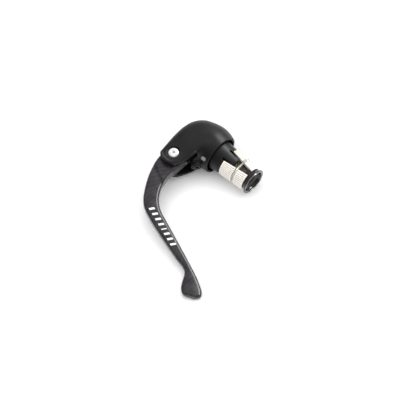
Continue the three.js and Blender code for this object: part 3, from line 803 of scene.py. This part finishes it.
def crease_drop(x, y):
    start, end = CREASE
    along = (end - start).normalized()
    past = (x - start.x) * along.y - (y - start.y) * along.x
    share = min(1.0, max(0.0, past / CREASE_WIDTH))
    fade = min(1.0, max(0.0, 1 - (past - CREASE_LEVEL) / CREASE_FADE))
    return CREASE_DROP * share * share * (3 - 2 * share) * fade


def edge_distance(p, starts, spans):
    """From a point to the nearest of the spans that make up the blade's outline."""
    t = np.clip(((p - starts) * spans).sum(1) / np.maximum((spans**2).sum(1), 1e-9), 0, 1)
    return float(np.min(np.linalg.norm(p - (starts + spans * t[:, None]), axis=1)))


def blade_height(p, share, edge):
    """Of the blade's face over its middle, at a share of its width and a distance from its edge."""
    round_off = BLADE_EDGE - math.sqrt(max(0.0, BLADE_EDGE**2 - max(0.0, BLADE_EDGE - edge) ** 2))
    paddle = min(1.0, max(0.0, (PADDLE_Y - p[1]) / PADDLE_FADE))
    crown = (CROWN + PADDLE_CROWN * paddle) * (2 * share - 1) ** 2
    thin = 1 - BLADE_TAPER * (SEAM - p[1])
    return (BLADE_HALF - 0.02 - round_off) * thin - crown - crease_drop(*p)


def blade():
    """A slab between two outlines, with round edges, crowned faces and a crease across its root."""
    stations, across = 280, 34
    rungs = spline(BLADE_RUNGS, stations)
    outline = np.vstack([rungs[:, :2], rungs[::-1, 2:]])
    starts, spans = outline[:-1], outline[1:] - outline[:-1]
    shares = (1 - np.cos(np.linspace(0, np.pi, across + 1))) / 2
    rings, places = [], []
    length = 0.0
    middle = None
    for ox, oy, ix, iy in rungs:
        centre = np.array([(ox + ix) / 2, (oy + iy) / 2])
        length += 0 if middle is None else float(np.linalg.norm(centre - middle))
        middle = centre
        width = math.hypot(ix - ox, iy - oy)
        upper, lower, where = [], [], []
        for share in shares:
            p = np.array([ox + (ix - ox) * share, oy + (iy - oy) * share])
            z = blade_height(p, share, edge_distance(p, starts, spans))
            upper.append((p[0], p[1], z))
            lower.append((p[0], p[1], -z))
            where.append((length, width * (share - 0.5)))
        rings.append(upper + lower[::-1])
        places += where + where[::-1]
    body = ring_mesh("carbon_blade", rings)
    layer = body.data.uv_layers.new(name="laid")
    for corner in body.data.loops:
        layer.data[corner.index].uv = places[corner.vertex_index]
    return faces_out(body, merge=False)


def draped_patch(name, outline, surface, down, thick):
    """A thin patch on a surface, under the given rows of points, which drop onto it along a direction."""
    above, sunk = 6, 0.05
    rows, normals = [], []
    for row in outline:
        found = [surface.ray_cast(Vector(point) - down * above, down) for point in row]
        rows.append([hit[0] for hit in found])
        normals.append([hit[1] for hit in found])
    count = len(rows[0])
    upper = [p + n * thick for row, ns in zip(rows, normals) for p, n in zip(row, ns)]
    lower = [p - n * sunk for row, ns in zip(rows, normals) for p, n in zip(row, ns)]
    size = len(upper)
    faces = []
    for i in range(len(rows) - 1):
        for j in range(count - 1):
            a = i * count + j
            quad = (a, a + 1, a + 1 + count, a + count)
            faces.append(quad)
            faces.append(tuple(size + k for k in reversed(quad)))
    last = (len(rows) - 1) * count
    rim = list(range(count)) + [count * (i + 1) + count - 1 for i in range(len(rows) - 1)]
    rim += [last + j for j in range(count - 2, -1, -1)] + [count * i for i in range(len(rows) - 2, 0, -1)]
    for a, b in zip(rim, rim[1:] + rim[:1]):
        faces.append((b, a, a + size, b + size))
    return faces_out(mesh_object(name, upper + lower, faces))


BAR_LINE = (Vector((0.6, -60.9, 6)), Vector((34.6, -72.7, 6)))  # the middle of the row of bars
BAR_WIDTHS = [1.6, 1.6, 1.6, 1.6, 0.8, 1.6, 1.6, 1.6]
BAR_GAP, BAR_HALF, BAR_SLANT = 2.75, 1.75, 0.28


def blade_bars(surface):
    """A row of plain slanted bars where the blade carries its print."""
    start, end = BAR_LINE
    along = (end - start).normalized()
    side = Vector((-along.y, along.x, 0))
    at = 0.0
    for number, width in enumerate(BAR_WIDTHS):
        outline = []
        for across in np.linspace(-BAR_HALF, BAR_HALF, 7):
            lean = BAR_SLANT * across
            ways = np.linspace(at, at + width, 5)
            outline.append([start + along * (way + lean) + side * across for way in ways])
        bar = draped_patch(f"blade_bar_{number + 1}", outline, surface, Vector((0, 0, -1)), 0.035)
        finished(bar, "lever", "carbon", white_ink)
        at += width + BAR_GAP


def printed_blade():
    body = blade()
    points = [v.co for v in body.data.vertices]
    blade_bars(BVHTree.FromPolygons(points, [p.vertices for p in body.data.polygons]))
    return finished(body, "lever", "carbon", carbon, "lever_blade")


def side_mark(moulding):
    """A small plain pad under the skirt, where the side is marked."""
    points = [(v.co - SHIFT) * 1000 for v in moulding.data.vertices]
    surface = BVHTree.FromPolygons(points, [p.vertices for p in moulding.data.polygons])
    middle = Vector((1.5, -12.3, 6.6))
    out = Vector((0, middle.y, middle.z)).normalized()
    along = Vector((1, 0, 0))
    side = out.cross(along)
    outline = []
    for a in np.linspace(-1.4, 1.4, 9):
        half = 1.6 - 0.2 * abs(a) ** 3
        outline.append([middle + side * a + along * b for b in np.linspace(-half, half, 7)])
    pad = draped_patch("side_mark_pad", outline, surface, -out, 0.04)
    return finished(pad, "bracket", "bracket_plastic", grey_ink)


def bush(side, node):
    flat = [(2.65, 2.75), (2.65, 3.4), (4.6, 3.4), (4.6, 4.45), (4.75, 4.6), (5.25, 4.6), (5.4, 4.45),
            (5.4, 2.75)]
    profile = [(side * z, r) for z, r in flat + flat[:1]]
    body = turned(f"flanged_{node}", profile, (*PIVOT, 0), "Z", 64)
    return finished(body, "lever", "bush_plastic", bush_plastic, node)


def hook_barrel():
    profile = [(-4.3, 0), (-4.3, 2.2), (-4.0, 2.5), (4.0, 2.5), (4.3, 2.2), (4.3, 0)]
    body = turned("hook_barrel", profile, (*HOOK, 0), "Z", 64)
    centre = Vector((*HOOK, 0))
    left, right = centre + Vector((-4, 0, 0)), centre + Vector((4, 0, 0))
    hole = turned_between("hole", rod(0, 8, 0.9), left, right, 24)
    seat = turned_between("seat", rod(0, 3.4, 1.6), left, right, 24)
    combined(body, [hole, seat], "DIFFERENCE")
    broken_edges(body, 0.12)
    return finished(body, "hook", "brass", brass, "cable_hook")


# ---------- pivot and screws ----------
def pivot_axle():
    profile = [(-9.2, 0), (-9.2, 1.0), (-9.1, 3.1), (-8.75, 3.5), (-8.5, AXLE_HEAD), (-7.7, AXLE_HEAD),
               (-7.7, AXLE_RADIUS), (7.4, AXLE_RADIUS), (7.4, AXLE_BORE), (-2.4, AXLE_BORE), (-2.9, 0)]
    body = turned("pivot_sleeve", profile, (*PIVOT, 0), "Z")
    return finished(body, "bracket", "pale_alloy", head_alloy, "pivot_axle")


def pivot_screw():
    profile = [(-1.8, 0), (-1.8, 1.4), (7.7, 1.4), (7.7, 3.3), (7.85, 3.5), (8.6, 3.5), (8.9, 3.38),
               (9.15, 3.05), (9.28, 2.6), (9.3, 2.0), (9.3, 1.6), (9.3, 0)]
    body = turned("pivot_screw_head", profile, (*PIVOT, 0), "Z")
    key = prism("key", hexagon(2.0, PIVOT, 0.3), 6.0, 12)
    combined(body, [key], "DIFFERENCE")
    broken_edges(body, 0.08)
    return finished(body, "bracket", "pale_alloy", head_alloy, "pivot_screw")


def reach_screw():
    inward = (REACH_TIP - REACH_HEAD).normalized()
    thick = 1.2  # of the head
    outer = REACH_HEAD - inward * thick
    span = (REACH_TIP - outer).length
    head = [(0, 0.0), (0, 2.25), (0.3, 2.6), (0.45, 2.65), (1.0, 2.65), (thick, 2.4), (thick, 1.7)]
    rows = flat_rings(head) + threaded(1.4, span - 0.5, 1.75, 0.7, 0.2)
    rows += flat_rings([(span, 1.3), (span, 0.0)])
    body = rings_object("reach_screw_body", rows, caps=False)
    combined(body, [prism("key", hexagon(2.5), -1, 1.5, "X")], "DIFFERENCE")
    turn = Vector((1, 0, 0)).rotation_difference(inward).to_matrix().to_4x4()
    body.data.transform(Matrix.Translation(outer) @ turn)
    return finished(body, "reach_stop", "black_steel", black_steel, "reach_screw")


def reach_insert():
    start, end = along_screw(0.42), along_screw(0.93)
    span = (end - start).length
    profile = [(0, 1.9), (0, 2.45), (0.15, 2.6), (span - 0.2, 2.6), (span, 2.4), (span, 1.9), (0, 1.9)]
    body = turned_between("screw_insert", profile, start, end)
    return finished(body, "bracket", "brass", brass, "reach_insert")


def preload_screw():
    rows = flat_rings([(-10.6, 0.0), (-10.6, 0.8), (-10.2, 1.3)]) + threaded(-10.1, -6.6, 1.35, 0.5, 0.15)
    rows += flat_rings([(-6.4, 1.3), (-6.2, 1.1), (-6.2, 0.0)])
    body = rings_object("spring_preload_screw", rows, caps=False)
    combined(body, [prism("key", hexagon(1.5), -7.4, -5, "X")], "DIFFERENCE")
    body.data.transform(Matrix.Translation((0, -19.7, 1.15)))
    return finished(body, "lever", "steel", worn_steel, "preload_screw")


def return_spring():
    """Wound from the bracket's front wall to the root, so it winds up as the lever turns."""
    radius, pitch, start, turns = 3.95, 1.13, math.radians(195), 3 + 165 / 360
    first_leg, second_leg = 11.4, 4.4
    wire, steps = 0.48, 220
    wound = 2 * math.pi * turns * radius
    points = []
    for i in range(steps + 1):
        along = i / steps * (first_leg + wound + second_leg) - first_leg
        turn = min(1.0, max(0.0, along / wound))
        angle = start + turn * turns * 2 * math.pi
        past = along - turn * wound
        points.append((
            PIVOT[0] + radius * math.cos(angle) - past * math.sin(angle),
            PIVOT[1] + radius * math.sin(angle) + past * math.cos(angle),
            (turn - 0.5) * turns * pitch,
        ))
    body = tube("torsion_spring", points, wire)
    finished(body, None, "steel", steel, "return_spring")
    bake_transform(body)
    return body


ROOT_EDGE = 0.00015  # metres, since the CAD's meshes are in metres


def dress_root():
    """The CAD root stays; it gets its finish and small broken edges."""
    root = frame["nodes"]["lever_root"]
    root.data.materials.clear()
    root.data.materials.append(black_alloy)
    edge = root.modifiers.new("edge", "BEVEL")
    edge.width = ROOT_EDGE
    edge.segments = 2
    edge.limit_method = "ANGLE"
    edge.angle_limit = math.radians(35)


# ---------- table, light and camera ----------
def look_along(thing, direction):
    thing.rotation_mode = "QUATERNION"
    thing.rotation_quaternion = Vector(direction).to_track_quat("-Z", "Y")


# Where the skirt, the cone's lip and the paddle rest on the table.
RESTS = [(0.5, -2.0, -13.95), (34.5, 0.0, -9.15), (60.0, -88.0, -3.2)]
FLOOR_HALF = 6.0  # in metres


def table_floor():
    """A flat table under the three places that the lever rests on."""
    skirt, lip, paddle = [place(point) for point in RESTS]
    up = (lip - skirt).cross(paddle - skirt).normalized()
    up = up if up.z > 0 else -up
    across = Vector((1, 0, 0)) - up * up.x
    across.normalize()
    away = up.cross(across)
    signs = ((-1, -1), (1, -1), (1, 1), (-1, 1))
    corners = [skirt + across * a * FLOOR_HALF + away * b * FLOOR_HALF for a, b in signs]
    floor = mesh_object("table_top", corners, [(0, 1, 2, 3)])
    floor.data.materials.append(table_top())


def area_light(name, position, target, size, power, seen_by):
    """A soft box. One seen by "gloss" only shows in glossy surfaces, and one seen by "matt" only lights."""
    data = bpy.data.lights.new(name, "AREA")
    data.shape = "RECTANGLE"
    data.size, data.size_y = size
    data.energy = power
    lamp = bpy.data.objects.new(name, data)
    bpy.context.scene.collection.objects.link(lamp)
    lamp.location = position
    lamp.visible_diffuse = seen_by != "gloss"
    lamp.visible_glossy = seen_by != "matt"
    look_along(lamp, Vector(target) - Vector(position))


def surroundings():
    """A white world that is brighter towards one side, for a soft gradient on glossy surfaces."""
    world = bpy.data.worlds.new("studio")
    world.use_nodes = True
    tree = world.node_tree
    ways = tree.nodes.new("ShaderNodeTexCoord")
    towards = tree.nodes.new("ShaderNodeVectorMath")
    towards.operation = "DOT_PRODUCT"
    towards.inputs[1].default_value = Vector((-0.25, 0.6, 0.8)).normalized()
    glow = tree.nodes.new("ShaderNodeMapRange")
    for name, number in (("From Min", -0.2), ("From Max", 1.0), ("To Min", 0.12), ("To Max", 0.72)):
        glow.inputs[name].default_value = number
    tree.links.new(ways.outputs["Generated"], towards.inputs[0])
    tree.links.new(towards.outputs["Value"], glow.inputs["Value"])
    tree.links.new(glow.outputs["Result"], tree.nodes["Background"].inputs["Strength"])
    tree.nodes["Background"].inputs["Color"].default_value = (1, 1, 1, 1)
    bpy.context.scene.world = world


def studio():
    surroundings()
    bpy.context.scene.view_settings.view_transform = "Standard"
    aim = place((15, -30, 0))
    area_light("overhead", aim + Vector((0.0, 0.1, 1.5)), aim, (2.4, 2.4), 30, "matt")
    area_light("front", aim + Vector((0.2, -1.1, 0.7)), aim, (1.4, 1.0), 8, "matt")
    area_light("sheen", aim + Vector((0.04, 0.74, 0.7)), aim, (0.9, 0.4), 13, "gloss")


AZIMUTH, ELEVATION = 43.0, 60.0  # degrees
DISTANCE = 2.0  # metres
FRAME_WIDTH = 0.2705  # metres across the picture, at the lever
SENSOR = 36  # millimetres


def camera():
    data = bpy.data.cameras.new("camera")
    cam = bpy.data.objects.new("camera", data)
    bpy.context.scene.collection.objects.link(cam)
    bpy.context.scene.camera = cam
    a, e = math.radians(AZIMUTH), math.radians(ELEVATION)
    back = Vector((math.sin(a) * math.cos(e), -math.cos(a) * math.cos(e), math.sin(e)))
    cam.location = place((26.4, -34.7, 0)) + back * DISTANCE
    look_along(cam, -back)
    data.sensor_width = SENSOR
    data.lens = SENSOR * DISTANCE / FRAME_WIDTH
    data.clip_start, data.clip_end = 0.01, 20


# ---------- making ----------
camera()
studio()
table_floor()
side_mark(bracket())
hollow_bolt()
washer()
nut()
cone()
for number in range(RIBS):
    segment(number)
for number in range(RIBS):
    coiled_ring(number)
ring_hook()
printed_blade()
dress_root()
bush(1, "pivot_bush_near")
bush(-1, "pivot_bush_far")
hook_barrel()
pivot_axle()
pivot_screw()
reach_insert()
reach_screw()
preload_screw()
return_spring()
